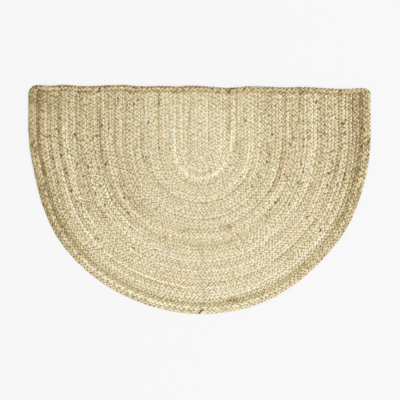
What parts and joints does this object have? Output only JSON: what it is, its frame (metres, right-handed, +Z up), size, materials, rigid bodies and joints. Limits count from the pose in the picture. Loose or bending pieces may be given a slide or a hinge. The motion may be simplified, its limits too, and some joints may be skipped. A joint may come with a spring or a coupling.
{
  "type": "doormat",
  "caption": "Half-round doormat of braided jute sewn in nested half-oval rows, with two rows of braid sewn on round its outline.",
  "frame": {"origin": "on the floor, under the middle of the mat's outline", "axes": "+X along the straight edge, +Y towards the straight edge, +Z up from the floor"},
  "size_m": [0.8992, 0.604, 0.0098],
  "materials": {
    "jute": "pale undyed jute braid, dull and fibrous",
    "edge_jute": "slightly browner undyed jute braid, dull and fibrous"
  },
  "bodies": {
    "root": {"braided_field": "jute", "edge_braid": "edge_jute"}
  },
  "joints": []
}
